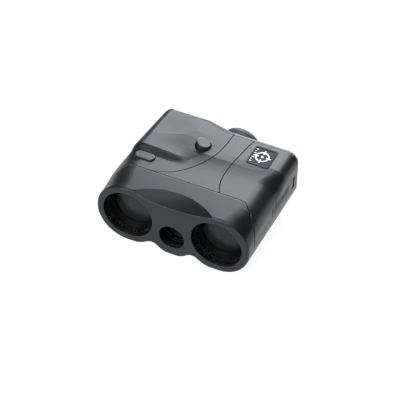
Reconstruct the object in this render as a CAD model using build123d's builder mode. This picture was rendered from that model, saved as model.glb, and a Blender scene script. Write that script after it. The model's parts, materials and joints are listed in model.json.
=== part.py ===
"""Laser rangefinder, binocular style: two large objectives, a small sighting objective, one eyepiece.

Millimetres. +X is to the right seen from the front, -Y is the front (objective) end, +Z is up.
The origin is on the base plane, at the middle of the overall width and depth.
Depths are measured back from the front face.
"""

from build123d import *
from math import atan2, cos, degrees, hypot, radians, sin, sqrt, tan
import os

# ------------------------------------------------------------------ driving dimensions
overall_depth = 120.5        # front face to eyecup rim
body_width = 132.0
lens_spacing = 77.0          # between the two large objective axes
axis_height = 27.5           # large objective axes above the base
deck_height = 55.0           # top deck in front of the step
deck_rise = 1.2              # step up to the rear deck
hump_rise = 2.9              # battery grip above the front deck
front_fall = 0.7             # fall of the deck from the front seam to the rim
wall = 2.2
seam = 0.6                   # gap between neighbouring covers
rear_gap = 0.36              # the rear cover fits closer

half_width = body_width / 2
half_spacing = lens_spacing / 2
lobe_radius = half_width - half_spacing
sight_drop = 8.6             # sighting objective below the large axes
sight_z = axis_height - sight_drop
shoulder = lobe_radius - 1.0

bezel_thick = 3.4
large_aperture = 21.8
sight_aperture = 11.1

top_seam = 27.4              # depth of the front housing's rear seam on the deck
side_seam = 11.5             # depth of the same seam at mid-height
seam_sweep = 31.0            # radius that joins the two on the left lobe
seam_turn = 8.0              # plan radius where it turns forward over the right shoulder
rear_seam, grip_seam = 93.6, 98.5
body_depth, grip_depth = 98.0, 102.0
slant_right, slant_left = 1.0, -15.5
rear_round = 3.0
corner_round = 4.8           # upright rear corners
lip = 1.1                    # rounding of the front rim
parting_z = 12.0             # base cover below, covers above

eye_x, eye_z = 5.5, 25.0     # eyepiece axis
eyecup_radius = 17.2

fire_x, fire_depth, fire_length, fire_width = -43.4, 40.5, 17.0, 7.6
mode_x, mode_depth, mode_radius = -6.7, 71.0, 5.6
mode_lean = (0.36, 0.10, 0.93)  # the mode button's face leans to the right
button_travel = 0.8
button_gap = 0.3
board_top = 45.6             # switch board under the buttons

door_left, door_right, door_low = -48.3, -20.75, 24.3
hinge_x, hinge_depth, hinge_low, hinge_high = -50.2, 100.3, 27.0, 48.0
hinge_radius, pin_radius = 1.675, 0.8

badge_x, badge_depth, badge_width, badge_length = 41.0, 79.2, 19.0, 22.0
badge_low = deck_height + deck_rise - 0.8
badge_top = deck_height + deck_rise + 0.25
socket_depth = 58.0          # tripod socket under the body
socket_radius, socket_length = 3.175, 8.0
socket_seat = 6.0            # radius of the insert
strap_depth, strap_z, strap_slot, strap_height = 86.0, 34.0, 4.2, 11.0
strap_pin_radius = 1.3
groove_count, groove_pitch, groove_width, groove_cut = 12, 2.8, 1.3, 0.6
groove_start, groove_low, groove_high = 43.8, 31.8, 38.8

case_screws_at = [(x, d) for x in (-33.0, 33.0) for d in (31.5, 86.5)]
rear_screws_at = [(57.0, 16.0, body_depth), (57.0, 44.0, body_depth), (27.0, 47.5, body_depth),
                  (-46.0, 14.0, grip_depth)]
big = 200.0


# ------------------------------------------------------------------ helpers
def y_at(depth):
    """Row Y of a depth measured back from the front face."""
    return depth - overall_depth / 2


def across(depth):
    """Plane across the body at a depth; sketch axes are X and Z, and a negative extrude goes back."""
    return Plane.XZ.offset(-y_at(depth))


def ease(depth, start, end):
    """Smooth blend from 0 at start to 1 at end."""
    t = min(max((depth - start) / (end - start), 0), 1)
    return t * t * (3 - 2 * t)


def swell(depth, start, end):
    """A rise from 0 at start to 1 at end that steepens until it stops at a crease."""
    return min(max((depth - start) / (end - start), 0), 1) ** 2


def block(x0, x1, depth0, depth1, z0, z1):
    """A box from its limits."""
    with BuildPart() as made:
        with Locations(((x0 + x1) / 2, y_at((depth0 + depth1) / 2), (z0 + z1) / 2)):
            Box(x1 - x0, depth1 - depth0, z1 - z0)
    return made.part


def rod(x, z, radius, depth0, depth1):
    """A cylinder along Y between two depths."""
    with BuildPart() as made:
        with BuildSketch(across(depth0)):
            with Locations((x, z)):
                Circle(radius)
        extrude(amount=depth0 - depth1)
    return made.part


def post(x, depth, radius, z0, z1):
    """A cylinder along Z between two heights."""
    with BuildPart() as made:
        with BuildSketch(Plane.XY.offset(z0)):
            with Locations((x, y_at(depth))):
                Circle(radius)
        extrude(amount=z1 - z0)
    return made.part


def turned(x, z, profile):
    """A body turned about an axis along Y, from (radius, depth) corners."""
    with BuildPart() as made:
        with BuildSketch(Plane.XY.offset(z)):
            with BuildLine():
                Polyline(*[(x + r, y_at(d)) for r, d in profile], close=True)
            make_face()
        revolve(axis=Axis((x, 0, z), (0, 1, 0)))
    return made.part


def lens(x, z, radius, front, rear, front_bulge, rear_bulge):
    """A lens between two rim depths, its faces bulging past them."""
    with BuildPart() as made:
        with BuildSketch(Plane.XY.offset(z)):
            with BuildLine():
                front_pole, front_rim = (x, y_at(front - front_bulge)), (x + radius, y_at(front))
                rear_rim, rear_pole = (x + radius, y_at(rear)), (x, y_at(rear + rear_bulge))
                RadiusArc(front_pole, front_rim, sphere(radius, front_bulge))
                Line(front_rim, rear_rim)
                RadiusArc(rear_rim, rear_pole, sphere(radius, rear_bulge))
                Line(rear_pole, front_pole)
            make_face()
        revolve(axis=Axis((x, 0, z), (0, 1, 0)))
    return made.part


def sphere(radius, bulge):
    """Radius of the sphere whose cap of this radius bulges this much."""
    return -(radius * radius + bulge * bulge) / (2 * bulge)


def slot_column(x, depth, length, width, z0, z1):
    """A column with an oblong section, its length along X."""
    with BuildPart() as made:
        with BuildSketch(Plane.XY.offset(z0)):
            with Locations((x, y_at(depth))):
                SlotOverall(length, width)
        extrude(amount=z1 - z0)
    return made.part


def plate(x, depth, width, length, corner, z0, z1):
    """A flat plate with rounded corners."""
    with BuildPart() as made:
        with BuildSketch(Plane.XY.offset(z0)):
            with Locations((x, y_at(depth))):
                RectangleRounded(width, length, corner)
        extrude(amount=z1 - z0)
    return made.part


# ------------------------------------------------------------------ outer form
# The section runs from full-round lobes in front to a squarer grip behind, with a step up in the deck.
form_depths = [0.0, 0.4, 1.5, 4.0, 7.0, 10.0, 14.0, 20.0, 27.4, 33.0, 37.0, 40.5, 44.0, 46.0, 48.0, 50.0,
               52.0, 56.0, 60.0, 63.0, 66.5, 70.0, 76.0, 84.0, 93.2, 95.5, 97.2, 98.0, 100.0, 101.4, 102.0,
               103.0]
ridge_x = -20.0              # where the grip's top begins to fall towards the deck
grip_start = 47.0
dish_x, dish_depth, dish_reach, dish_sink = -35.0, 77.0, 24.0, 0.3


def rear_blend(depth, end):
    """0 ahead of a rounded rear corner, 1 at its end."""
    t = min(max((depth - end + corner_round) / corner_round, 0), 1)
    return 1 - sqrt(1 - t * t)


def section(depth, inset):
    """One closed cross-section of the form, shrunk by inset."""
    inset += lip * (1 - sqrt(1 - (1 - min(depth, 1.5) / 1.5) ** 2))
    narrow = ease(depth, 33, grip_start)
    taper = max(depth - grip_start, 0) / (grip_depth - grip_start)
    low, right = inset, half_width - inset
    left = inset + 6.2 * narrow + 4.3 * taper - half_width
    crest = 0.05 + hump_rise * ease(depth, 44, 52)
    ridge = crest * (0.5 + 0.5 * ease(depth, 54, 84))
    ridge_foot_x = 19 * ease(depth, 48, 76) - 11
    top = deck_height - inset - front_fall * max(1 - depth / top_seam, 0)
    deck_left = top + deck_rise * swell(depth, 40, 63)
    deck_right = top + deck_rise * swell(depth, 46, 70)
    hump = top + crest
    left_r = shoulder - inset - 4.0 * ease(depth, 4, 26) - 13.5 * narrow - 1.5 * taper
    left_r += 5.0 * rear_blend(depth, grip_depth)
    right_r = shoulder - inset - 2.0 - 6.0 * ease(depth, -6, 22) - 8.0 * ease(depth, 50, 70)
    right_r += 7.0 * rear_blend(depth, body_depth)
    base_r = shoulder - inset
    bow = 1 - sqrt(0.5)
    with BuildSketch(across(depth)) as made:
        with BuildLine():
            Polyline((left + left_r, hump), (ridge_x, top + ridge), (ridge_foot_x, deck_left),
                     (right - right_r, deck_right))
            ThreePointArc((right - right_r, deck_right), (right - bow * right_r, deck_right - bow * right_r),
                          (right, deck_right - right_r))
            Line((right, deck_right - right_r), (right, low + base_r))
            ThreePointArc((right, low + base_r), (right - bow * base_r, low + bow * base_r),
                          (right - base_r, low))
            Line((right - base_r, low), (left + base_r, low))
            ThreePointArc((left + base_r, low), (left + bow * base_r, low + bow * base_r),
                          (left, low + base_r))
            Line((left, low + base_r), (left, hump - left_r))
            ThreePointArc((left, hump - left_r), (left + bow * left_r, hump - bow * left_r),
                          (left + left_r, hump))
        make_face()
    return made.sketch.faces()[0]


def valley(inset, side):
    """The groove under the body between the sighting lobe and a large lobe, fading out towards the rear."""
    small, large, blend = sight_z - inset, lobe_radius - inset, 7.0 + inset
    span, rise = half_spacing, axis_height - sight_z
    reach = hypot(span, rise)
    to_small, to_large = small + blend, large + blend
    along = (to_small ** 2 - to_large ** 2 + reach ** 2) / (2 * reach)
    down = sqrt(to_small ** 2 - along ** 2)
    centre_x = (along * span + down * rise) / reach
    centre_z = sight_z + (along * rise - down * span) / reach
    touch_small = (centre_x * small / to_small, sight_z + (centre_z - sight_z) * small / to_small)
    touch_large = (span + (centre_x - span) * large / to_large,
                   axis_height + (centre_z - axis_height) * large / to_large)
    slices = []
    for depth, height in ((-1.0, 1.0), (44.0, 0.02)):
        with BuildSketch(across(depth)) as made:
            with BuildLine():
                mid_small = (0.52 * touch_small[0], sight_z - sqrt(small ** 2 - (0.52 * touch_small[0]) ** 2))
                mid_x = span + 0.52 * (touch_large[0] - span)
                mid_large = (mid_x, axis_height - sqrt(large ** 2 - (mid_x - span) ** 2))
                corners = [(0, inset), mid_small, touch_small, (centre_x, centre_z + blend), touch_large,
                           mid_large, (span, inset)]
                path = [(side * x, inset + (z - inset) * height) for x, z in corners]
                ThreePointArc(path[0], path[1], path[2])
                ThreePointArc(path[2], path[3], path[4])
                ThreePointArc(path[4], path[5], path[6])
                Polyline(path[6], (side * span, -5), (0, -5), path[0])
            make_face()
        slices.append(made.sketch.faces()[0])
    with BuildPart() as cut:
        loft(slices, ruled=True)
    return cut.part


def rear_prism(x0, x1, depth, top, turn=0.0, pivot_x=0.0):
    """Everything in front of a rear face, with rounded top and bottom rear edges."""
    with BuildPart() as made:
        with BuildSketch(Plane.YZ.offset(x0)):
            with BuildLine():
                far, near = y_at(depth), y_at(depth) - rear_round
                bow = rear_round * (1 - sqrt(0.5))
                Line((far - big, 0), (near, 0))
                ThreePointArc((near, 0), (far - bow, bow), (far, rear_round))
                Line((far, rear_round), (far, top - rear_round))
                ThreePointArc((far, top - rear_round), (far - bow, top - bow), (near, top))
                Polyline((near, top), (far - big, top), (far - big, 0))
            make_face()
        extrude(amount=x1 - x0)
    return made.part.rotate(Axis((pivot_x, y_at(depth), 0), (0, 0, 1)), turn)


def plan_limit(inset):
    """The body's outline from above, as a tall prism."""
    back, grip = body_depth - inset, grip_depth - inset
    with BuildPart() as made:
        with BuildSketch(Plane.XY.offset(-1)):
            with BuildLine():
                Polyline((-big, y_at(-1)), (big, y_at(-1)), (big, y_at(back)), (slant_right, y_at(back)),
                         (slant_left, y_at(grip)), (-big, y_at(grip)), close=True)
            make_face()
        extrude(amount=70)
    return made.part


def upright_corner(x, depth, side):
    """What an upright rear corner loses when it is rounded in plan."""
    far, near = y_at(depth), y_at(depth - corner_round)
    inside = x - side * corner_round
    with BuildPart() as made:
        with BuildSketch(Plane.XY.offset(-1)):
            with BuildLine():
                TangentArc((x, near), (inside, far), tangent=(0, 1))
                Polyline((inside, far), (inside, far + 5), (x + side * 5, far + 5), (x + side * 5, near),
                         (x, near))
            make_face()
        extrude(amount=70)
    return made.part


slant_turn = -degrees(atan2(grip_depth - body_depth, slant_right - slant_left))
with BuildPart() as rear_limit:
    add(rear_prism(-80, 80, grip_depth, deck_height + hump_rise + 0.05))
    add(rear_prism(-120, 120, grip_depth, deck_height + hump_rise + 0.05, slant_turn, slant_left),
        mode=Mode.INTERSECT)
    add(rear_prism(-10, 80, body_depth, deck_height + deck_rise))
    add(upright_corner(half_width, body_depth, 1), mode=Mode.SUBTRACT)
    add(upright_corner(10.5 - half_width, grip_depth, -1), mode=Mode.SUBTRACT)

# The scoop behind the front crest is turned about an upright axis in front of the body.
scoop_reach, scoop_axis, scoop_depth = 57.0, -43.2, 5.9
scoop_start, scoop_end = radians(12), radians(34)
with BuildPart() as scoop:
    with BuildSketch(Plane.XZ.offset(-y_at(scoop_axis))):
        with BuildLine():
            radius = hypot(scoop_reach + scoop_axis, scoop_depth) / (2 * sin((scoop_end - scoop_start) / 2))
            start = (-scoop_axis, deck_height - scoop_depth)
            end = (scoop_reach, deck_height)
            middle = (start[0] + radius * (sin((scoop_start + scoop_end) / 2) - sin(scoop_start)),
                      start[1] + radius * (cos(scoop_start) - cos((scoop_start + scoop_end) / 2)))
            ThreePointArc(start, middle, end)
            Polyline(end, (scoop_reach + 3, deck_height + 2), (30, deck_height + 2), (30, start[1] - 2.8),
                     start)
        make_face()
    revolve(axis=Axis((0, y_at(scoop_axis), 0), (0, 0, 1)))

valley_sink = 0.01           # keeps the groove's faces clear of the lobes' own

# The thumb rest on top of the grip is a shallow dish: a hollow arc that turns over into a rounded rim.
with BuildPart() as dish:
    with BuildSketch(Plane.XZ.offset(-y_at(dish_depth))):
        with BuildLine():
            rim_z = deck_height + hump_rise + 0.06
            arc_radius = dish_reach ** 2 / (4 * dish_sink)
            mid_rise = arc_radius - sqrt(arc_radius ** 2 - (dish_reach / 2) ** 2)
            mid_x = dish_x + dish_reach / 2
            RadiusArc((dish_x, rim_z - 2 * mid_rise), (mid_x, rim_z - mid_rise), -arc_radius)
            RadiusArc((mid_x, rim_z - mid_rise), (dish_x + dish_reach, rim_z), arc_radius)
            Polyline((dish_x + dish_reach, rim_z), (dish_x + dish_reach, rim_z + 4), (dish_x, rim_z + 4),
                     (dish_x, rim_z - 2 * mid_rise))
        make_face()
    revolve(axis=Axis((dish_x, y_at(dish_depth), 0), (0, 0, 1)))

with BuildPart() as outer:
    loft([section(depth, 0.0) for depth in form_depths], ruled=True)
    add(rear_limit.part, mode=Mode.INTERSECT)
    for side in (-1, 1):
        add(valley(valley_sink, side), mode=Mode.SUBTRACT)
    add(scoop.part, mode=Mode.SUBTRACT)
    add(dish.part, mode=Mode.SUBTRACT)

with BuildPart() as inner:
    loft([section(depth, wall) for depth in form_depths], ruled=True)
    add(plan_limit(wall), mode=Mode.INTERSECT)
    for side in (-1, 1):
        add(valley(wall + valley_sink, side), mode=Mode.SUBTRACT)
    add(scoop.part.translate((0, 0, -wall)), mode=Mode.SUBTRACT)
    add(dish.part.translate((0, 0, -wall)), mode=Mode.SUBTRACT)
    add(block(-big, big, -2, bezel_thick, -2, 70), mode=Mode.SUBTRACT)


# ------------------------------------------------------------------ covers
def upright_cut(line, z0=parting_z, gap=seam):
    """A thin wall along a plan line, used to part neighbouring covers."""
    with BuildPart() as made:
        with BuildSketch(Plane.XY.offset(z0)):
            trace(line, gap)
        extrude(amount=big)
    return made.part


with BuildLine() as grip_curve:
    Spline((-33.0, y_at(top_seam)), (-10.2, y_at(38.0)), (3.6, y_at(58.0)), (9.4, y_at(94.5)),
           tangents=((1, 0.12), (0.03, 1)))
with BuildLine() as side_curve:
    Spline((28.4, y_at(top_seam - 0.3)), (24.6, y_at(34.5)), (22.1, y_at(55.0)), (25.0, y_at(80.0)),
           (27.6, y_at(94.5)), tangents=((-0.7, 1), (0.25, 1)))
with BuildLine() as rear_line:
    Polyline((big, y_at(rear_seam)), (3.5, y_at(rear_seam)), (slant_left, y_at(grip_seam)),
             (-big, y_at(grip_seam)))

# The front seam sweeps forward down the left lobe, and turns forward in plan over the right shoulder.
turn_x, turn_z = 40.0, 30.0
corner_x = half_width - (top_seam - side_seam) - 0.4
turn_run = seam_turn * tan(radians(22.5))
with BuildLine() as shoulder_line:
    Line((turn_x - 1, y_at(top_seam)), (corner_x - turn_run, y_at(top_seam)))
    TangentArc((corner_x - turn_run, y_at(top_seam)),
               (corner_x + turn_run * sqrt(0.5), y_at(top_seam - turn_run * sqrt(0.5))), tangent=(1, 0))
    Line((corner_x + turn_run * sqrt(0.5), y_at(top_seam - turn_run * sqrt(0.5))),
         (corner_x + 25, y_at(top_seam - 25)))

with BuildPart() as front_seam_cut:
    with BuildSketch(Plane.YZ.offset(-80)):
        with BuildLine() as front_line:
            knee_z = axis_height - 1.5
            bend = sqrt(seam_sweep ** 2 - (seam_sweep + side_seam - top_seam) ** 2)
            Line((y_at(side_seam), -5), (y_at(side_seam), knee_z))
            mid_z = 0.62 * bend
            ThreePointArc((y_at(side_seam), knee_z),
                          (y_at(side_seam + seam_sweep - sqrt(seam_sweep ** 2 - mid_z ** 2)), knee_z + mid_z),
                          (y_at(top_seam), knee_z + bend))
            Line((y_at(top_seam), knee_z + bend), (y_at(top_seam), 70))
        trace(front_line.line, seam)
    extrude(amount=80 + turn_x)
    add(block(turn_x - 1, 80, side_seam - seam / 2, side_seam + seam / 2, -5, turn_z + 0.1))
    add(upright_cut(shoulder_line.line, turn_z))
    add(block(60, half_width - 0.6, side_seam - 0.2, side_seam + 3.2, turn_z - seam / 2, turn_z + seam / 2))

with BuildPart() as parting_cut:
    with BuildSketch(Plane.XY.offset(parting_z - seam / 2)):
        with BuildLine():
            Polyline((big, y_at(side_seam)), (big, y_at(rear_seam)), (3.5, y_at(rear_seam)),
                     (slant_left, y_at(grip_seam)), (-big, y_at(grip_seam)), (-big, y_at(side_seam)),
                     close=True)
        make_face()
    extrude(amount=seam)
    add(upright_cut(rear_line.line, -1, rear_gap))

with BuildPart() as shell:
    add(outer.part)
    add(inner.part, mode=Mode.SUBTRACT)
    add(front_seam_cut.part, mode=Mode.SUBTRACT)
    add(parting_cut.part, mode=Mode.SUBTRACT)
    add(upright_cut(grip_curve.line), mode=Mode.SUBTRACT)
    add(upright_cut(side_curve.line), mode=Mode.SUBTRACT)


def cover_near(x, depth, z):
    """The piece of the split shell that reaches this point."""
    spot = Vector(x, y_at(depth), z)
    return min(shell.part.solids(), key=lambda solid: solid.distance_to(Vertex(*spot)))


# ------------------------------------------------------------------ casing
with BuildPart() as front_housing:
    add(cover_near(0, 1, 30))
    for x in (-half_spacing, half_spacing):
        add(rod(x, axis_height, large_aperture, -2, bezel_thick + 2), mode=Mode.SUBTRACT)
    add(rod(0, sight_z, sight_aperture, -2, bezel_thick + 2), mode=Mode.SUBTRACT)

with BuildPart() as base_cover:
    add(cover_near(0, 60, 1))
    add(post(0, socket_depth, socket_seat + 3, 0.5, 8))
    add(post(0, socket_depth, socket_seat, -1, 10), mode=Mode.SUBTRACT)
    for x, depth in case_screws_at:
        add(post(x, depth, 3.9, wall - 0.3, 3.6))
        add(post(x, depth, 2.7, -1, 1.9), mode=Mode.SUBTRACT)
        add(post(x, depth, 1.45, -1, 5), mode=Mode.SUBTRACT)

with BuildPart() as grip_cover:
    add(cover_near(-40, 70, 57))
    add(slot_column(fire_x, fire_depth, fire_length + 2 * button_gap, fire_width + 2 * button_gap, 40, 70),
        mode=Mode.SUBTRACT)
    add(post(mode_x, mode_depth, mode_radius + button_gap, 40, 70), mode=Mode.SUBTRACT)

with BuildPart() as center_cover:
    add(cover_near(15, 50, 55))

strap_pin_at = (half_width - 1.7, strap_depth + 0.7)
with BuildPart() as side_cover:
    add(cover_near(50, 50, 55))
    add(block(half_width - 7.5, half_width, strap_depth - 4.5, strap_depth + 4.5, strap_z - 9, strap_z + 9))
    add(block(half_width - 5.5, half_width + 3, strap_depth - strap_slot / 2, strap_depth + strap_slot / 2,
              strap_z - strap_height / 2, strap_z + strap_height / 2), mode=Mode.SUBTRACT)
    add(post(*strap_pin_at, strap_pin_radius, strap_z - 8, strap_z + 8), mode=Mode.SUBTRACT)
    add(plate(badge_x, badge_depth, badge_width + 0.4, badge_length + 0.4, 2.2, badge_low, badge_low + 5),
        mode=Mode.SUBTRACT)
    for n in range(groove_count):
        groove_depth = groove_start + n * groove_pitch
        add(block(half_width - groove_cut, half_width + 1, groove_depth, groove_depth + groove_width,
                  groove_low, groove_high), mode=Mode.SUBTRACT)

with BuildPart() as door_outline:
    with BuildSketch(across(grip_seam - 8)):
        with BuildLine():
            Polyline((door_left, door_low), (door_right, door_low), (door_right, 70), (door_left, 70),
                     (door_left, hinge_high), (hinge_x, hinge_high), (hinge_x, hinge_low),
                     (door_left, hinge_low), close=True)
        make_face()
    extrude(amount=-20)

door_clear = 0.3
with BuildPart() as door_gap:
    with BuildSketch(across(grip_seam - 8)):
        with BuildLine():
            clear_left = hinge_x - hinge_radius - door_clear - 0.05
            Polyline((hinge_x, door_low - door_clear), (door_right + door_clear, door_low - door_clear),
                     (door_right + door_clear, 70), (hinge_x, 70), (hinge_x, hinge_high + door_clear),
                     (clear_left, hinge_high + door_clear), (clear_left, hinge_low - door_clear),
                     (hinge_x, hinge_low - door_clear), close=True)
        make_face()
    extrude(amount=-20)

door_front = hinge_depth - hinge_radius
with BuildPart() as battery_door:
    add(outer.part)
    add(block(-big, big, door_front, big, -5, 90), mode=Mode.INTERSECT)
    add(door_outline.part, mode=Mode.INTERSECT)
    add(post(hinge_x, hinge_depth, hinge_radius, hinge_low, hinge_high))
    add(post(hinge_x, hinge_depth, pin_radius + 0.05, 0, 90), mode=Mode.SUBTRACT)
    for n in range(4):
        add(block(-25.5, -24.0, grip_depth - 0.6, grip_depth + 1, 32 + 3 * n, 33.5 + 3 * n),
            mode=Mode.SUBTRACT)

with BuildPart() as knuckles:
    add(post(hinge_x, hinge_depth, hinge_radius - 0.05, 19, 90))
    add(block(hinge_x - 2.3, hinge_x, grip_seam + 0.35, big, 19, 90))
    add(outer.part, mode=Mode.INTERSECT)
    add(block(-80, 0, 0, big, hinge_low - door_clear, hinge_high + door_clear), mode=Mode.SUBTRACT)

eye_floor = body_depth + 0.2 # floor of the eyepiece's round seat
with BuildPart() as eye_boss:
    add(outer.part)
    add(rod(eye_x, eye_z, 18.8, eye_floor - 2.3, 110), mode=Mode.INTERSECT)

with BuildPart() as rear_cover:
    add(cover_near(40, 96, 30))
    add(door_gap.part, mode=Mode.SUBTRACT)
    add(knuckles.part)
    add(post(hinge_x, hinge_depth, pin_radius, 21.4, 52.6), mode=Mode.SUBTRACT)
    add(eye_boss.part)
    add(rod(eye_x, eye_z, 17.6, eye_floor, 115), mode=Mode.SUBTRACT)
    add(rod(eye_x, eye_z, 15.2, 80, 115), mode=Mode.SUBTRACT)
    for x, z, back in rear_screws_at:
        add(rod(x, z, 3.6, back - 3.4, back - 1.5))
        add(rod(x, z, 2.7, back - 1.6, back + 3), mode=Mode.SUBTRACT)
        add(rod(x, z, 1.45, back - 8, back + 3), mode=Mode.SUBTRACT)

with BuildPart() as hinge_pin:
    add(post(hinge_x, hinge_depth, pin_radius, 21.5, 52.5))

with BuildPart() as strap_pin:
    add(post(*strap_pin_at, strap_pin_radius, strap_z - 8, strap_z + 8))

with BuildPart() as badge_plate:
    add(plate(badge_x, badge_depth, badge_width, badge_length, 2.0, badge_low, badge_top))
    add(plate(badge_x, badge_depth, badge_width - 2.4, badge_length - 2.4, 1.2, badge_top - 0.35,
              badge_top + 1), mode=Mode.SUBTRACT)
    with BuildSketch(Plane.XY.offset(badge_top - 0.4)):
        with Locations((badge_x, y_at(badge_depth))):
            Circle(5.6)
            Circle(4.9, mode=Mode.SUBTRACT)
            for angle in (0, 90, 180, 270):
                with PolarLocations(5.4, 1, angle):
                    Rectangle(4.0, 0.7)
            Circle(0.7)
    extrude(amount=0.3)

with BuildPart() as tripod_insert:
    add(post(0, socket_depth, socket_seat - 0.01, 0.3, 9.0))
    add(post(0, socket_depth, socket_radius, 0.3, 0.3 + socket_length), mode=Mode.SUBTRACT)

with BuildPart() as case_screws:
    for x, depth in case_screws_at:
        add(post(x, depth, 2.5, 0.4, 1.88))
        add(post(x, depth, 1.2, 1.5, 9.0))
        with Locations((x, y_at(depth), 0.4)):
            Box(0.7, 3.2, 1.0, mode=Mode.SUBTRACT)
            Box(3.2, 0.7, 1.0, mode=Mode.SUBTRACT)

with BuildPart() as rear_screws:
    for x, z, back in rear_screws_at:
        add(rod(x, z, 2.5, back - 1.59, back - 0.2))
        add(rod(x, z, 1.2, back - 8.2, back - 1.0))
        with Locations((x, y_at(back - 0.2), z)):
            Box(0.7, 1.0, 3.2, mode=Mode.SUBTRACT)
            Box(3.2, 1.0, 0.7, mode=Mode.SUBTRACT)


# ------------------------------------------------------------------ controls
fire_flange = 51.4
mode_flange = deck_height + deck_rise - wall + 0.15
flange_thick = 0.7
switch_height = 3.4          # board to plunger top
stem_low = board_top + switch_height + button_travel + 0.1
with BuildPart() as fire_button:
    add(slot_column(fire_x, fire_depth, fire_length, fire_width, fire_flange - 0.3, deck_height + 1.4))
    fillet(fire_button.faces().sort_by(Axis.Z)[-1].edges(), 0.6)
    add(slot_column(fire_x, fire_depth, fire_length - 1.0, fire_width + 1.6, fire_flange - flange_thick,
                    fire_flange))
    add(post(fire_x, fire_depth, 1.8, stem_low, fire_flange - 0.5))

mode_top = (mode_x, y_at(mode_depth), deck_height + deck_rise + 3.9)
with BuildPart() as mode_button:
    add(post(mode_x, mode_depth, mode_radius, mode_flange - 0.3, mode_top[2] + 5))
    split(bisect_by=Plane(mode_top, z_dir=mode_lean), keep=Keep.BOTTOM)
    fillet(mode_button.faces().sort_by(Axis.Z)[-1].edges(), 0.7)
    add(post(mode_x, mode_depth, mode_radius + 1.2, mode_flange - flange_thick, mode_flange))
    add(post(mode_x, mode_depth, 1.8, stem_low, mode_flange - 0.5))


def boot(x, depth, top):
    """A silicone return boot: a thin cone standing on the switch board around a switch."""
    with BuildPart() as made:
        with BuildSketch(Plane.XZ.offset(-y_at(depth))):
            with BuildLine():
                Polyline((x + 4.6, board_top), (x + 4.6, board_top + 0.8), (x + 3.9, top), (x + 2.5, top),
                         (x + 2.5, top - 0.6), (x + 3.3, top - 0.8), (x + 3.9, board_top), close=True)
            make_face()
        revolve(axis=Axis((x, y_at(depth), 0), (0, 0, 1)))
    return made.part


with BuildPart() as fire_boot:
    add(boot(fire_x, fire_depth, fire_flange - flange_thick - 0.05))

with BuildPart() as mode_boot:
    add(boot(mode_x, mode_depth, mode_flange - flange_thick - 0.05))


def switch(x, depth):
    """A tactile switch standing on the board."""
    with BuildPart() as made:
        add(block(x - 2.25, x + 2.25, depth - 2.25, depth + 2.25, board_top, board_top + switch_height - 0.8))
        add(post(x, depth, 1.3, board_top + switch_height - 0.9, board_top + switch_height))
    return made.part


with BuildPart() as fire_switch:
    add(switch(fire_x, fire_depth))

with BuildPart() as mode_switch:
    add(switch(mode_x, mode_depth))

with BuildPart() as switch_board:
    add(block(-52, -1, 34.5, 43.9, board_top - 1.2, board_top))
    add(block(-13, -1, 34.5, 80, board_top - 1.2, board_top))


# ------------------------------------------------------------------ optics
def hood(x):
    """A light baffle in front of a large lens: two steps, then a cone down to the lens."""
    return turned(x, axis_height, [(24.2, 4.3), (24.2, 12.4), (16.4, 12.4), (16.4, 11.6), (20.0, 7.8),
                                   (20.0, 6.6), (20.8, 6.6), (20.8, 5.6), (21.5, 5.6), (21.5, 4.3)])


def barrel(x):
    """A conical barrel that carries a large lens and narrows to its module."""
    return turned(x, axis_height, [(24.2, 12.5), (24.2, 20.0), (17.0, 29.2), (17.0, 33.4), (8.5, 43.5),
                                   (6.6, 43.5), (14.8, 33.0), (17.8, 22.0), (17.8, 17.2), (19.6, 17.2), (19.6, 12.5)])


with BuildPart() as transmit_hood:
    add(hood(-half_spacing))

with BuildPart() as receive_hood:
    add(hood(half_spacing))

with BuildPart() as transmit_lens:
    add(lens(-half_spacing, axis_height, 19.5, 13.0, 16.6, 1.6, 0.5))

with BuildPart() as receive_lens:
    add(lens(half_spacing, axis_height, 19.5, 13.0, 16.6, 1.6, 0.5))

with BuildPart() as transmit_barrel:
    add(barrel(-half_spacing))

with BuildPart() as receive_barrel:
    add(barrel(half_spacing))

with BuildPart() as sight_hood:
    add(turned(0, sight_z, [(13.0, 4.3), (13.0, 12.3), (9.9, 12.3), (9.9, 10.4), (10.5, 10.4), (10.5, 8.6),
                            (11.0, 8.6), (11.0, 4.3)]))

with BuildPart() as sight_lens:
    add(lens(0, sight_z, 11.0, 13.2, 16.0, 0.8, 0.6))

with BuildPart() as sight_barrel:
    add(turned(0, sight_z, [(13.0, 12.4), (13.0, 44.0), (10.0, 44.0), (10.0, 17.0), (11.1, 17.0),
                            (11.1, 12.4)]))

with BuildPart() as objective_seals:
    for x in (-half_spacing, half_spacing):
        add(turned(x, axis_height, [(22.4, 3.45), (24.2, 3.45), (24.2, 4.25), (22.4, 4.25)]))
    add(turned(0, sight_z, [(11.4, 3.45), (13.0, 3.45), (13.0, 4.25), (11.4, 4.25)]))

with BuildPart() as laser_module:
    add(turned(-half_spacing, axis_height, [(0, 43.6), (5.2, 43.6), (5.2, 52.0), (2.8, 52.0), (2.8, 55.0),
                                            (0, 55.0)]))
    for turn in (radians(90), radians(210), radians(330)):
        add(rod(1.3 * cos(turn) - half_spacing, axis_height + 1.3 * sin(turn), 0.25, 54.9, 60))

with BuildPart() as detector_module:
    add(turned(half_spacing, axis_height, [(0, 43.6), (6.5, 43.6), (6.5, 48.0), (0, 48.0)]))
    add(block(half_spacing - 9, half_spacing + 9, 47.9, 49.5, axis_height - 9, axis_height + 9))

with BuildPart() as prism:
    with BuildSketch(Plane.YZ.offset(eye_x - 11)):
        with BuildLine():
            Polyline((y_at(46.5), 10.5), (y_at(64.0), 10.5), (y_at(70.0), 18.0), (y_at(70.0), 36.5),
                     (y_at(56.0), 36.5), (y_at(46.5), 27.0), close=True)
        make_face()
    extrude(amount=20)

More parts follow.
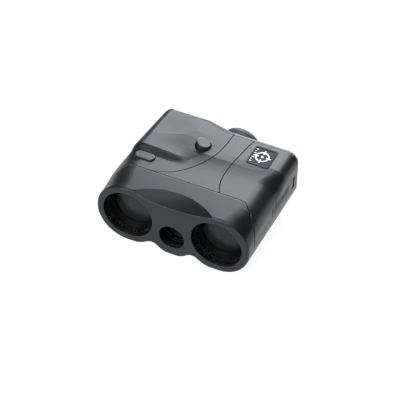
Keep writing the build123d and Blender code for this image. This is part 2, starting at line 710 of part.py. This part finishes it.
with BuildPart() as prism_cradle:
    add(block(eye_x - 12.6, eye_x + 10.6, 45.6, 71.0, 9.1, 20.0))
    add(block(eye_x - 11.1, eye_x + 9.1, 46.4, 70.1, 10.4, 30.0), mode=Mode.SUBTRACT)
    add(rod(0, sight_z, 9.0, 40, 50), mode=Mode.SUBTRACT)
    add(rod(eye_x, eye_z, 8.0, 66, 75), mode=Mode.SUBTRACT)

with BuildPart() as reticle_display:
    add(block(eye_x - 9, eye_x + 9, 75.0, 76.8, eye_z - 7, eye_z + 7))

# ------------------------------------------------------------------ eyepiece
def eye_turned(profile):
    """A body turned about the eyepiece axis, its depths measured back from the seat's floor."""
    return turned(eye_x, eye_z, [(r, eye_floor + back) for r, back in profile])


eye_end = overall_depth - eye_floor
with BuildPart() as eyepiece_sleeve:
    add(eye_turned([(14.9, -13.6), (14.9, 11.3), (12.86, 11.3), (12.86, -1.7), (11.6, -1.7), (11.6, -2.5),
                    (12.86, -2.5), (12.86, -13.6)]))

with BuildPart() as field_lens:
    add(lens(eye_x, eye_z, 12.8, eye_floor - 7.1, eye_floor - 4.3, 1.4, 1.4))

with BuildPart() as diopter_ring:
    add(eye_turned([(14.96, 0.3), (16.6, 0.3), (16.6, 7.3), (15.9, 7.3), (15.9, 13.3), (14.96, 13.3)]))
    with BuildSketch(across(eye_floor + 1.1)):
        with Locations((eye_x, eye_z)):
            with PolarLocations(16.55, 30):
                Rectangle(0.9, 1.6)
    extrude(amount=-5.4)

with BuildPart() as eye_cell:
    add(eye_turned([(11.0, 1.3), (12.8, 1.3), (12.8, 11.5), (14.8, 11.5), (14.8, 13.4), (15.9, 13.4),
                    (15.9, 15.3), (11.0, 15.3), (11.0, 11.9), (11.6, 11.9), (11.6, 4.3), (11.0, 4.3)]))

with BuildPart() as eye_lens:
    add(lens(eye_x, eye_z, 11.5, eye_floor + 5.9, eye_floor + 10.3, 1.0, 1.5))

with BuildPart() as eyecup:
    add(eye_turned([(16.0, 7.45), (eyecup_radius - 0.3, 7.45), (eyecup_radius - 0.3, 15.8),
                    (eyecup_radius, 17.8), (eyecup_radius, eye_end - 0.8), (eyecup_radius - 0.7, eye_end),
                    (14.6, eye_end), (13.2, 18.3), (11.2, 16.9), (11.2, 15.4), (16.0, 15.4)]))


# ------------------------------------------------------------------ inside
def bulkhead(front, back):
    """A wall across the whole cavity, just clear of the covers."""
    with BuildPart() as made:
        loft([section(front, wall + 0.25), section(back, wall + 0.25)], ruled=True)
    return made.part


with BuildPart() as optical_chassis:
    add(bulkhead(30.0, 33.0))
    add(bulkhead(84.6, 87.6))
    for x in (-20.5, 18.5):
        add(block(x - 1.5, x + 1.5, 32, 85, 4.0, 9.0))
    for x, depth in case_screws_at:
        front = depth - 3.4 if depth < 60 else depth - 1.9
        add(block(x - 3.4, x + 3.4, front, front + 5.3, 3.7, 9.5))
    for x, z, back in rear_screws_at:
        add(rod(x, z, 3.2, 87.5, back - 3.5))
    for side in (-1, 1):
        add(valley(wall + 0.25, side), mode=Mode.SUBTRACT)
        add(rod(side * half_spacing, axis_height, 17.05, 20, 40), mode=Mode.SUBTRACT)
    add(block(half_width - 7.8, big, 81, 93, strap_z - 9.3, strap_z + 9.3), mode=Mode.SUBTRACT)
    add(dish.part.translate((0, 0, -wall - 0.3)), mode=Mode.SUBTRACT)
    add(rod(0, sight_z, 13.05, 20, 40), mode=Mode.SUBTRACT)
    add(rod(eye_x, eye_z, 14.95, 80, 90), mode=Mode.SUBTRACT)
    add(block(-53.5, -23.9, 80, 92, 32.6, 53.0), mode=Mode.SUBTRACT)
    for x, depth in case_screws_at:
        add(post(x, depth, 4.2, 0, 3.7), mode=Mode.SUBTRACT)
        add(post(x, depth, 1.22, 3, 9.2), mode=Mode.SUBTRACT)
    for x, z, back in rear_screws_at:
        add(rod(x, z, 1.22, back - 9, back), mode=Mode.SUBTRACT)

with BuildPart() as main_board:
    add(block(14, 56, 36, 82, 44.6, 46.2))
    add(block(22, 34, 46, 58, 46.2, 47.8))
    add(block(40, 48, 44, 54, 46.2, 48.2))
    add(block(24, 30, 66, 76, 46.2, 47.4))
    for n in range(4):
        add(post(40 + 4 * n, 66, 1.5, 46.2, 50.5))

tray_front = 46.8
with BuildPart() as battery_tray:
    add(block(-53.0, -24.2, tray_front, tray_front + 51.0, 32.9, 52.4))
    add(block(-51.8, -25.4, tray_front + 1.2, tray_front + 52.0, 34.1, 51.5), mode=Mode.SUBTRACT)

with BuildPart() as battery_contacts:
    add(block(-51.5, -25.9, tray_front + 1.25, tray_front + 2.4, 34.7, 50.9))
    for x in (-45.0, -32.4):
        add(rod(x, 42.8, 2.6, tray_front + 2.3, tray_front + 3.0))

with BuildPart() as battery:
    add(block(-51.7, -25.5, tray_front + 5.1, tray_front + 50.95, 34.25, 51.35))
    fillet(battery.edges().filter_by(Axis.Y), 2.0)
    for x in (-45.0, -32.4):
        add(rod(x, 42.8, 3.1, tray_front + 3.05, tray_front + 5.2))

# ------------------------------------------------------------------ export
pieces = {
    "front_housing": front_housing, "base_cover": base_cover, "grip_cover": grip_cover,
    "center_cover": center_cover, "side_cover": side_cover, "rear_cover": rear_cover,
    "battery_door": battery_door, "hinge_pin": hinge_pin, "strap_pin": strap_pin, "badge_plate": badge_plate,
    "tripod_insert": tripod_insert, "case_screws": case_screws, "rear_screws": rear_screws,
    "fire_button": fire_button, "mode_button": mode_button, "fire_boot": fire_boot, "mode_boot": mode_boot,
    "fire_switch": fire_switch, "mode_switch": mode_switch, "switch_board": switch_board,
    "transmit_hood": transmit_hood, "receive_hood": receive_hood, "sight_hood": sight_hood,
    "transmit_lens": transmit_lens, "receive_lens": receive_lens, "sight_lens": sight_lens,
    "transmit_barrel": transmit_barrel, "receive_barrel": receive_barrel, "sight_barrel": sight_barrel,
    "objective_seals": objective_seals, "laser_module": laser_module, "detector_module": detector_module,
    "prism": prism, "prism_cradle": prism_cradle, "reticle_display": reticle_display,
    "eyepiece_sleeve": eyepiece_sleeve, "field_lens": field_lens, "diopter_ring": diopter_ring,
    "eye_cell": eye_cell, "eye_lens": eye_lens, "eyecup": eyecup, "optical_chassis": optical_chassis,
    "main_board": main_board, "battery_tray": battery_tray, "battery_contacts": battery_contacts,
    "battery": battery,
}
os.makedirs("parts", exist_ok=True)
for label, piece in pieces.items():
    piece.part.label = label
    export_step(piece.part, f"parts/{label}.step")
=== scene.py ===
"""The looks of the laser rangefinder: its materials, rubber parts and badge, and a white studio.

Metres, in the CAD's frame: +X is to the right seen from the front, -Y is the front, +Z is up.
"""
import bmesh
import bpy
import json
from math import cos, pi, radians, sin
from mathutils import Matrix, Vector


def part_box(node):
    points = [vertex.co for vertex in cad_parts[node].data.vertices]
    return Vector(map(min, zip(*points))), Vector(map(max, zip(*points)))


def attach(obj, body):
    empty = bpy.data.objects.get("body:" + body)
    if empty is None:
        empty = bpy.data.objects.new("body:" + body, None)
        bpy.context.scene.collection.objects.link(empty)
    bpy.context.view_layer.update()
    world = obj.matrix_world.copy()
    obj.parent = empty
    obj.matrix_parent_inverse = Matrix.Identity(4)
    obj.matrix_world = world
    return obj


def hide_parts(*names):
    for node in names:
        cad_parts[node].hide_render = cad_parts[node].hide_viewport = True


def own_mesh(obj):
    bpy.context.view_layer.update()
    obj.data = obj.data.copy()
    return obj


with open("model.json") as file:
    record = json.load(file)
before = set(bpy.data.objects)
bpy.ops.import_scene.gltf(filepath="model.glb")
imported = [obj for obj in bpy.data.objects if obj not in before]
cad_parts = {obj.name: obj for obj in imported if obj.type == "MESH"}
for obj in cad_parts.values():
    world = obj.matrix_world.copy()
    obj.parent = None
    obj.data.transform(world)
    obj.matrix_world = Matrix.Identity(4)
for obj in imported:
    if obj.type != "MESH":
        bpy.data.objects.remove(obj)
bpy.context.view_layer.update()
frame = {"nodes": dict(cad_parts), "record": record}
nodes = frame["nodes"]
MM = 0.001

# Lights: where each stands, the point it faces, its width and height in metres, and its radiance.
AMBIENT = 0.05
BACK_SPOT, BACK_AIM, BACK_SIZE, BACK_RADIANCE = (-0.20, 1.2, 0.80), (-0.20, 0, 0.8), (1.18, 1.6), 9.2
BACK_COLOUR = (0.88, 0.91, 1.0)
TOP_SPOT, TOP_AIM, TOP_SIZE, TOP_RADIANCE = (0.0, -0.35, 1.5), (0, 0, 0.03), (1.1, 1.1), 2.2
FRONT_SPOT, FRONT_AIM, FRONT_SIZE, FRONT_RADIANCE = (-0.41, -0.94, 0.80), (0, -0.06, 0.05), (1.0, 0.24), 32.0
FLOOR_REACH, FLOOR_DROP = 1.4, 0.2 * MM

# Sockets of Blender's colour mix node, which has several sockets of each name.
MIX_A, MIX_B, MIX_RESULT = 6, 7, 2


# ------------------------------------------------------------------ camera, floor and light
def place_camera():
    """A long lens, above and to the right of the front, rolled very slightly."""
    azimuth, elevation, roll = radians(25.556), radians(42.62), radians(0.45)
    back = Vector((sin(azimuth) * cos(elevation), -cos(azimuth) * cos(elevation), sin(elevation)))
    right = Vector((cos(azimuth), sin(azimuth), 0))
    up = back.cross(right)
    turned_right = right * cos(roll) + up * sin(roll)
    turned_up = up * cos(roll) - right * sin(roll)
    distance = 1231.3 * MM
    aim = Vector((0, -11.5 * MM, 27.5 * MM))
    shift_right, shift_down = 1.016, 6.48
    spot = aim + back * distance + turned_right * shift_right * MM - turned_up * shift_down * MM
    data = bpy.data.cameras.new("camera")
    data.sensor_width = 36
    data.lens = 138.53
    data.clip_start = 0.05
    camera = bpy.data.objects.new("camera", data)
    axes = Matrix((turned_right, turned_up, back)).transposed()
    camera.matrix_world = Matrix.Translation(spot) @ axes.to_4x4()
    bpy.context.scene.collection.objects.link(camera)
    bpy.context.scene.camera = camera


def softbox(name, spot, aim, width, height, radiance, colour=(1, 1, 1)):
    """A rectangular softbox at spot, facing aim, of this radiance."""
    data = bpy.data.lights.new(name, "AREA")
    data.shape = "RECTANGLE"
    data.size = width
    data.size_y = height
    data.energy = radiance * pi * width * height
    data.color = colour
    light = bpy.data.objects.new(name, data)
    light.location = spot
    light.rotation_euler = (Vector(aim) - Vector(spot)).to_track_quat("-Z", "Y").to_euler()
    bpy.context.scene.collection.objects.link(light)


def studio():
    """A white table, a tall softbox behind, a weak one overhead, a narrow strip in front, and dark sides."""
    scene = bpy.context.scene
    scene.view_settings.view_transform = "Standard"
    world = bpy.data.worlds.new("studio")
    scene.world = world
    world.use_nodes = True
    tree = world.node_tree
    background = tree.nodes["Background"]
    path = tree.nodes.new("ShaderNodeLightPath")
    white = tree.nodes.new("ShaderNodeBackground")
    white.inputs["Color"].default_value = (1, 1, 1, 1)
    white.inputs["Strength"].default_value = 1.0
    background.inputs["Color"].default_value = (0.95, 0.97, 1, 1)
    background.inputs["Strength"].default_value = AMBIENT
    mix = tree.nodes.new("ShaderNodeMixShader")
    tree.links.new(path.outputs["Is Camera Ray"], mix.inputs[0])
    tree.links.new(background.outputs[0], mix.inputs[1])
    tree.links.new(white.outputs[0], mix.inputs[2])
    tree.links.new(mix.outputs[0], tree.nodes["World Output"].inputs["Surface"])

    softbox("back_softbox", BACK_SPOT, BACK_AIM, *BACK_SIZE, BACK_RADIANCE, BACK_COLOUR)
    softbox("top_softbox", TOP_SPOT, TOP_AIM, *TOP_SIZE, TOP_RADIANCE)
    softbox("front_strip", FRONT_SPOT, FRONT_AIM, *FRONT_SIZE, FRONT_RADIANCE)

    floor_mesh = bpy.data.meshes.new("floor")
    corners = [(-FLOOR_REACH, -FLOOR_REACH), (FLOOR_REACH, -FLOOR_REACH),
               (FLOOR_REACH, FLOOR_REACH), (-FLOOR_REACH, FLOOR_REACH)]
    floor_mesh.from_pydata([(x, y, -FLOOR_DROP) for x, y in corners], [], [(0, 1, 2, 3)])
    floor = bpy.data.objects.new("floor", floor_mesh)
    scene.collection.objects.link(floor)
    paper, _, shader = new_material("floor_paper")
    shader.inputs["Base Color"].default_value = (0.14, 0.14, 0.14, 1)
    shader.inputs["Roughness"].default_value = 0.9
    shader.inputs["Specular IOR Level"].default_value = 0.0
    shader.inputs["Emission Color"].default_value = (1, 1, 1, 1)
    shader.inputs["Emission Strength"].default_value = 0.93
    floor_mesh.materials.append(paper)


# ------------------------------------------------------------------ materials
def new_material(name):
    """A material with its node tree and its main shader."""
    material = bpy.data.materials.new(name)
    material.use_nodes = True
    return material, material.node_tree, material.node_tree.nodes["Principled BSDF"]


def noise(tree, size, detail=3.0, roughness=0.55, stretch=(1, 1, 1)):
    """Noise over the object's own coordinates, with features about size metres across."""
    coordinates = tree.nodes.new("ShaderNodeTexCoord")
    mapping = tree.nodes.new("ShaderNodeMapping")
    mapping.inputs["Scale"].default_value = [part / size for part in stretch]
    texture = tree.nodes.new("ShaderNodeTexNoise")
    texture.inputs["Scale"].default_value = 1.0
    texture.inputs["Detail"].default_value = detail
    texture.inputs["Roughness"].default_value = roughness
    tree.links.new(coordinates.outputs["Object"], mapping.inputs["Vector"])
    tree.links.new(mapping.outputs["Vector"], texture.inputs["Vector"])
    return texture.outputs["Fac"]


def ramp(tree, factor, low, high, start=0.3, end=0.7):
    """A colour ramp between two colours or two grey levels."""
    node = tree.nodes.new("ShaderNodeValToRGB")
    for element, value, place in zip(node.color_ramp.elements, (low, high), (start, end)):
        element.position = place
        element.color = (value, value, value, 1) if isinstance(value, float) else (*value, 1)
    tree.links.new(factor, node.inputs["Fac"])
    return node.outputs["Color"]


def bump(tree, heights, shader, edge=0.35 * MM):
    """Chains bumps, each a (height socket, strength, distance) triple, onto edges softened to a radius."""
    soft = tree.nodes.new("ShaderNodeBevel")
    soft.samples = 6
    soft.inputs["Radius"].default_value = edge
    normal = soft.outputs["Normal"]
    for height, strength, distance in heights:
        node = tree.nodes.new("ShaderNodeBump")
        node.inputs["Strength"].default_value = strength
        node.inputs["Distance"].default_value = distance
        tree.links.new(height, node.inputs["Height"])
        tree.links.new(normal, node.inputs["Normal"])
        normal = node.outputs["Normal"]
    tree.links.new(normal, shader.inputs["Normal"])
    return soft.outputs["Normal"]


def edge_wear_and_highlight(tree, soft_normal):
    """1 on edges, 0 on faces: where the softened normal leaves the true one. It marks edges that handling has
    polished, and on the front housing and the baffle rings edges lit by a painted highlight.
    """
    geometry = tree.nodes.new("ShaderNodeNewGeometry")
    dot = tree.nodes.new("ShaderNodeVectorMath")
    dot.operation = "DOT_PRODUCT"
    tree.links.new(soft_normal, dot.inputs[0])
    tree.links.new(geometry.outputs["Normal"], dot.inputs[1])
    return ramp(tree, dot.outputs["Value"], 1.0, 0.0, 0.8, 0.97)


def tinted(colour, factor):
    """The colour, darker or lighter by a factor."""
    return tuple(part * factor for part in colour)


def moulded(name, colour, rough=(0.32, 0.36), grain=0.35 * MM, depth=0.03 * MM, strength=0.12, spread=0.12,
            wear_and_highlight=1.35, edge=0.5 * MM, specular=0.5):
    """Moulded plastic or rubber: spark-eroded grain, slight mottling, and edges lightened by a factor:
    handling marks on most parts, a painted highlight where the factor is large.
    """
    material, tree, shader = new_material(name)
    shader.inputs["Specular IOR Level"].default_value = specular
    grain_bump = (noise(tree, grain, detail=2), strength, depth)
    waviness = (noise(tree, 22 * MM, detail=1), 0.02, 0.2 * MM)
    soft = bump(tree, [grain_bump, waviness], shader, edge)
    mottle = ramp(tree, noise(tree, 9 * MM, detail=4), tinted(colour, 1 - spread), tinted(colour, 1 + spread))
    mix = tree.nodes.new("ShaderNodeMix")
    mix.data_type = "RGBA"
    # Edges lightened by wear_and_highlight: handling polish at small factors, painted highlight at large
    # ones.
    tree.links.new(edge_wear_and_highlight(tree, soft), mix.inputs["Factor"])
    tree.links.new(mottle, mix.inputs[MIX_A])
    mix.inputs[MIX_B].default_value = (*tinted(colour, wear_and_highlight), 1)
    tree.links.new(mix.outputs[MIX_RESULT], shader.inputs["Base Color"])
    tree.links.new(ramp(tree, noise(tree, 4 * MM, detail=5), rough[0], rough[1]), shader.inputs["Roughness"])
    return material


def metal(name, colour, rough=(0.25, 0.4), stretch=(1, 1, 12), tarnish=0.75):
    """Turned or drawn metal with fine lines and slight tarnish."""
    material, tree, shader = new_material(name)
    shader.inputs["Metallic"].default_value = 1.0
    tree.links.new(ramp(tree, noise(tree, 3 * MM, detail=4), tinted(colour, tarnish), colour),
                   shader.inputs["Base Color"])
    lines = noise(tree, 0.6 * MM, detail=2, stretch=stretch)
    tree.links.new(ramp(tree, lines, rough[0], rough[1]), shader.inputs["Roughness"])
    bump(tree, [(lines, 0.15, 0.01 * MM)], shader)
    return material


def coated_lens(name, colour, edge_colour):
    """Coated glass, made opaque: a soft sheen under a thin clear coat, with a faint mottled bloom."""
    material, tree, shader = new_material(name)
    shader.inputs["Coat Weight"].default_value = 0.06
    shader.inputs["Coat Roughness"].default_value = 0.04
    shader.inputs["Specular IOR Level"].default_value = 0.2
    bloom = noise(tree, 14 * MM, detail=1)
    tree.links.new(ramp(tree, bloom, colour, edge_colour), shader.inputs["Base Color"])
    dust = noise(tree, 1.2 * MM, detail=5)
    tree.links.new(ramp(tree, dust, 0.27, 0.31, 0.45, 0.75), shader.inputs["Roughness"])
    return material


def circuit_board(name):
    """Green solder mask over faint tracks."""
    material, tree, shader = new_material(name)
    tracks = noise(tree, 1.6 * MM, detail=0, stretch=(1, 0.15, 1))
    tree.links.new(ramp(tree, tracks, (0.01, 0.09, 0.035), (0.02, 0.16, 0.06), 0.48, 0.52),
                   shader.inputs["Base Color"])
    tree.links.new(ramp(tree, noise(tree, 5 * MM), 0.3, 0.45), shader.inputs["Roughness"])
    bump(tree, [(tracks, 0.3, 0.03 * MM)], shader)
    return material


charcoal = (0.0055, 0.0080, 0.0108)
materials = {
    "shell": moulded("shell_plastic", charcoal, specular=0.4),
    # The front housing: the charcoal darkened to 0.8 is painted shade on the front face, and its edges
    # lightened fourfold are a painted highlight line.
    "front": moulded("front_plastic_shaded_highlit", tinted(charcoal, 0.8), specular=0.34, edge=0.9 * MM, wear_and_highlight=4.0),
    "button": moulded("button_plastic", (0.020, 0.022, 0.027), rough=(0.36, 0.42), grain=0.25 * MM, wear_and_highlight=1.6,
                      specular=0.38),
    # The baffle rings: near-black, with edges lightened thirtyfold as painted glints.
    "baffle": moulded("baffle_black_painted_glints", (0.0015, 0.0015, 0.0018), rough=(0.55, 0.65), wear_and_highlight=30.0, edge=0.25 * MM,
                      specular=0.04),
    "coated_glass": coated_lens("lens_coating", (0.007, 0.008, 0.010), (0.010, 0.011, 0.014)),
    "prism_glass": coated_lens("prism_coating", (0.3, 0.33, 0.33), (0.36, 0.4, 0.4)),
    "display": coated_lens("display_glass", (0.1, 0.12, 0.1), (0.13, 0.15, 0.13)),
    "rubber": moulded("eyecup_rubber", (0.010, 0.011, 0.013), rough=(0.5, 0.62), grain=0.2 * MM, wear_and_highlight=1.6),
    "ring": moulded("ring_plastic", (0.02, 0.021, 0.024), rough=(0.36, 0.45)),
    "steel": metal("blackened_steel", (0.20, 0.20, 0.21)),
    "brass": metal("brass", (0.62, 0.46, 0.22)),
    "badge": moulded("badge_plastic", (0.008, 0.008, 0.010), rough=(0.3, 0.38), grain=0.5 * MM, strength=0.1,
                     specular=0.1),
    "frame": moulded("frame_nylon", (0.06, 0.06, 0.064), rough=(0.5, 0.65), grain=0.6 * MM),
    "board": circuit_board("circuit_board"),
    "switch": moulded("switch_black", (0.02, 0.02, 0.02), rough=(0.3, 0.4)),
    "module": metal("module_aluminium", (0.6, 0.6, 0.62)),
    "battery": moulded("battery_wrap", (0.05, 0.07, 0.11), rough=(0.25, 0.35), spread=0.2),
    # Near-black and dull: painted shade around the mode button.
    "collar": moulded("collar_painted_shade", (0.003, 0.003, 0.004), rough=(0.55, 0.65), grain=0.2 * MM,
                      wear_and_highlight=1.5, specular=0.1),
    "mark": moulded("mark_ink", (0.62, 0.63, 0.66), rough=(0.4, 0.5), grain=0.3 * MM, wear_and_highlight=0.85),
}
slot_of = {part["node"]: part["material_slot"] for part in frame["record"]["subparts"]}


# ------------------------------------------------------------------ pieces
def dress(piece, slot):
    """Gives a piece one material, on every slot."""
    piece.data.materials.clear()
    piece.data.materials.append(materials[slot])


def as_piece(name, mesh, body, material):
    """Links a bmesh as a smooth piece that rides on a body."""
    data = bpy.data.meshes.new(name)
    mesh.normal_update()
    mesh.to_mesh(data)
    mesh.free()
    data.shade_smooth()
    data.set_sharp_from_angle(angle=radians(32))
    piece = bpy.data.objects.new(name, data)
    bpy.context.scene.collection.objects.link(piece)
    data.materials.append(materials[material])
    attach(piece, body)
    return piece


def lathe(profile, place, steps=144):
    """A closed loop of profile points, carried round by place(point, angle)."""
    mesh = bmesh.new()
    rings = []
    for step in range(steps):
        angle = 2 * pi * step / steps
        rings.append([mesh.verts.new(place(point, angle)) for point in profile])
    for step in range(steps):
        ring, following = rings[step], rings[(step + 1) % steps]
        for index in range(len(profile)):
            after = (index + 1) % len(profile)
            mesh.faces.new((ring[index], ring[after], following[after], following[index]))
    bmesh.ops.recalc_face_normals(mesh, faces=mesh.faces[:])
    return mesh


def slab(mesh, outline, low, high):
    """Adds a closed prism with this outline in plan."""
    bottom = [mesh.verts.new((x, y, low)) for x, y in outline]
    top = [mesh.verts.new((x, y, high)) for x, y in outline]
    mesh.faces.new(top)
    mesh.faces.new(bottom[::-1])
    for index in range(len(outline)):
        after = (index + 1) % len(outline)
        mesh.faces.new((bottom[index], bottom[after], top[after], top[index]))


def eyecup():
    """A rubber cup: a ribbed sleeve, a flared rim with a rounded lip, and a funnel inside."""
    low, high = (Vector(corner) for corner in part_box("eyecup"))
    centre = Vector(((low.x + high.x) / 2, low.y, (low.z + high.z) / 2))
    full, length = (high.x - low.x) / 2, high.y - low.y
    sleeve = full - 0.3 * MM
    outside = [(sleeve - 0.7 * MM, 0), (sleeve - 0.15 * MM, 0.1 * MM), (sleeve, 0.5 * MM)]
    groove_count, first_groove, groove_pitch, groove_depth = 5, 1.1, 1.45, 0.32 * MM
    for groove in range(groove_count):
        start = (first_groove + groove_pitch * groove) * MM
        outside += [(sleeve, start), (sleeve - groove_depth, start + 0.15 * MM),
                    (sleeve - groove_depth, start + 0.5 * MM), (sleeve, start + 0.65 * MM)]
    outside += [(sleeve + 0.02 * MM, 8.6 * MM), (full - 0.12 * MM, 9.6 * MM), (full, 10.6 * MM)]
    lip_radius = 1.25
    lip = [(lip_radius * (1 - cos(turn)) * MM, lip_radius * sin(turn) * MM) for turn in
           (radians(15 * step) for step in range(1, 12))]
    outside += [(full - inward, length - lip_radius * MM + out) for inward, out in lip]
    bore, shelf = 15.97 * MM, 6.9 * MM
    inside = [(13.9 * MM, length - 2.6 * MM), (13.2 * MM, length - 4.0 * MM), (12.2 * MM, length - 4.9 * MM),
              (11.3 * MM, length - 5.6 * MM), (11.2 * MM, length - 6.2 * MM), (11.2 * MM, length - shelf),
              (bore, length - shelf), (bore, 0)]

    def about_y(point, angle):
        return centre + Vector((point[0] * cos(angle), point[1], point[0] * sin(angle)))

    piece = as_piece("eyecup_rubber", lathe(outside + inside, about_y), "eyepiece", "rubber")
    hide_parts("eyecup")


def mode_shade_ring():
    """A near-black collar in the deck around the mode button, tallest at its left edge: painted shade for the
    shaded well around the button.
    """
    low, high = (Vector(corner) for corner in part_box("mode_button"))
    x, y = (low.x + high.x) / 2, (low.y + high.y) / 2
    deck_z, lean = 56.75 * MM, -0.044
    inner, outer, buried = 5.85, 7.1, -1.0
    profile = [(inner, buried), (inner, 0.8), (5.95, 0.95), (6.15, 1.0), (6.4, 0.8), (6.75, 0.3),
               (outer, 0.0), (outer, buried)]
    middle_height, height_swing = 1.2, 0.85

    def leaning(point, angle):
        radius, reach = point[0] * MM, (middle_height - height_swing * cos(angle)) * MM
        return Vector((x + radius * cos(angle), y + radius * sin(angle),
                       deck_z + point[1] * reach + lean * radius * cos(angle)))

    as_piece("mode_shade_ring", lathe(profile, leaning, 96), "housing", "collar")


def return_boot(control):
    """The silicone boot under a button: a thin skirt beneath the button."""
    node = control + "_boot"
    low, high = (Vector(corner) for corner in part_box(node))
    x, y, height = (low.x + high.x) / 2, (low.y + high.y) / 2, high.z - low.z
    foot, collar, bore, skirt = 4.6 * MM, 3.9 * MM, 2.5 * MM, 0.7 * MM
    thick, top_thick, shortening = 0.6 * MM, 0.85 * MM, 0.95 * MM
    steps = 8
    profile = [(foot, 0), (foot, skirt), (foot - 0.15 * MM, 0.85 * MM)]
    for step in range(1, steps):
        share = step / steps
        bulge = 0.18 * MM * sin(pi * share)
        profile.append((foot + (collar - foot) * share + bulge, skirt + (height - skirt) * share))
    profile += [(collar - 0.05 * MM, height - 0.1 * MM), (collar - 0.2 * MM, height), (bore, height),
                (bore, height - thick), (collar - thick, height - top_thick)]
    for step in range(1, steps):
        share = step / steps
        profile.append((collar - thick + thick * share, (height - top_thick) * (1 - share)))
    profile.append((collar, 0))

    def about_z(point, angle):
        return Vector((x + point[0] * cos(angle), y + point[0] * sin(angle), low.z + point[1]))

    slot = slot_of[node]
    piece = as_piece(control + "_silicone", lathe(profile, about_z, 64), "housing", slot)
    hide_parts(node)
    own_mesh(piece)


def badge_marks():
    """A generic sighting mark and scale in light ink, filled into the badge's recess."""
    low, high = (Vector(corner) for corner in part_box("badge_plate"))
    x, y = (low.x + high.x) / 2, (low.y + high.y) / 2
    floor_z, top_z = high.z - 0.36 * MM, high.z - 0.05 * MM
    mesh = bmesh.new()

    steps, outer, inner = 12, 5.9 * MM, 4.6 * MM
    tucked = 0.05  # each quarter ring ends this many radians from a bar's middle, inside the bar
    bar_start, bar_end, bar_half, bar_rise = 3.2, 7.6, 0.6, 0.01 * MM
    for quarter in range(4):
        side = pi / 2 * quarter
        turns = [side + tucked + (pi / 2 - 2 * tucked) * step / steps for step in range(steps + 1)]
        slab(mesh, [(x + outer * cos(turn), y + outer * sin(turn)) for turn in turns]
             + [(x + inner * cos(turn), y + inner * sin(turn)) for turn in turns[::-1]], floor_z, top_z)
        along, across = Vector((cos(side), sin(side))), Vector((-sin(side), cos(side)))
        corners = [along * reach * MM + across * half * MM
                   for reach, half in ((bar_start, -bar_half), (bar_end, -bar_half),
                                       (bar_end, bar_half), (bar_start, bar_half))]
        slab(mesh, [(x + corner.x, y + corner.y) for corner in corners], floor_z, top_z + bar_rise)

    dot_radius, dot_sides = 1.15, 24
    turns = [pi * step / (dot_sides / 2) for step in range(dot_sides)]
    slab(mesh, [(x + dot_radius * MM * cos(turn), y + dot_radius * MM * sin(turn)) for turn in turns],
         floor_z, top_z)

    left, tick_half = x - 8.1 * MM, 0.45 * MM
    for step in (-3, -2, -1, 1, 2, 3):
        middle = y + 2.5 * MM * step
        right = left + (2.0 * MM if step % 2 else 1.3 * MM)
        slab(mesh, [(left, middle - tick_half), (right, middle - tick_half),
                    (right, middle + tick_half), (left, middle + tick_half)], floor_z, top_z)
    as_piece("badge_marks", mesh, "housing", "mark")


for name, node in nodes.items():
    # The front housing takes the darker front plastic: painted shade, with painted highlights on its edges.
    dress(node, "front" if name == "front_housing" else slot_of[name])
eyecup()
mode_shade_ring()
for control in ("fire", "mode"):
    return_boot(control)
badge_marks()
place_camera()
studio()
